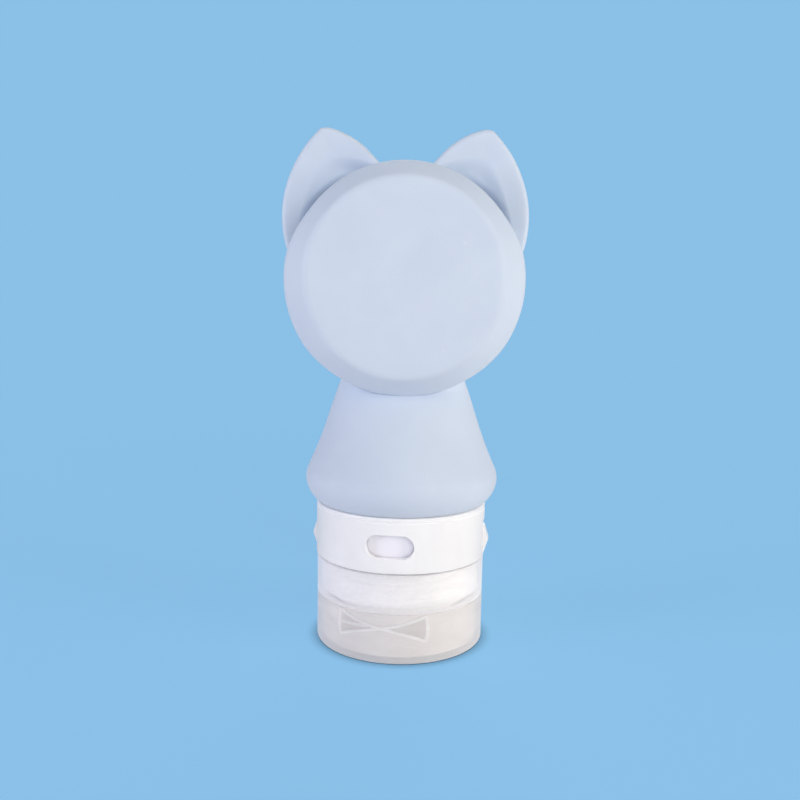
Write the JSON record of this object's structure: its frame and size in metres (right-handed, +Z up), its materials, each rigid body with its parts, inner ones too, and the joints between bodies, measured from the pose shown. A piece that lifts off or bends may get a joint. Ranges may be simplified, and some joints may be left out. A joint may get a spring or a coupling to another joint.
{
  "type": "travel squeeze bottle",
  "caption": "Soft silicone squeeze bottle shaped as a plain cat, standing on a see-through flip cap that screws on below a turning window collar.",
  "frame": {"origin": "centre of the flip lid's resting face, on the cap's axis", "axes": "+Z up along the cap's axis, -Y towards the flat front of the head, +X to the right as seen from the front"},
  "size_m": [0.0586, 0.0458, 0.1211],
  "materials": {
    "silicone": "soft matt, light blue",
    "white_plastic": "satin, white",
    "band_plastic": "satin, white with a lavender tint",
    "clear_plastic": "frosted, see-through",
    "gasket": "matt, white",
    "valve_silicone": "soft, milky"
  },
  "bodies": {
    "bottle": {"bottle_body": "silicone", "neck_fitment": "white_plastic", "label_band": "band_plastic"},
    "collar": {"window_collar": "white_plastic"},
    "seal": {"seal_ring": "gasket"},
    "cap": {"cap_base": "clear_plastic", "drip_valve": "valve_silicone", "valve_retainer": "white_plastic", "hinge_web": "clear_plastic"},
    "lid": {"flip_lid": "clear_plastic"}
  },
  "joints": [
    {"name": "collar_turn", "type": "hinge", "parent": "bottle", "child": "collar", "pos_m": [0, 0, 0.027], "axis": [0, 0, 1], "continuous": true},
    {"name": "cap_rise", "type": "slide", "parent": "bottle", "child": "seal", "axis": [0, 0, -1], "range_m": [0, 0.009]},
    {"name": "cap_turn", "type": "hinge", "parent": "seal", "child": "cap", "pos_m": [0, 0, 0.016], "axis": [0, 0, -1], "range_deg": [0, 900]},
    {"name": "lid_flip", "type": "hinge", "parent": "cap", "child": "lid", "pos_m": [0.00406, 0.0191, 0.01155], "axis": [0.9781, -0.2079, 0], "range_deg": [0, 150], "deforming": ["hinge_web"]}
  ],
  "couplings": [
    {"joint": "cap_rise", "follows": "cap_turn", "m_per_rad": 0.00057295}
  ]
}
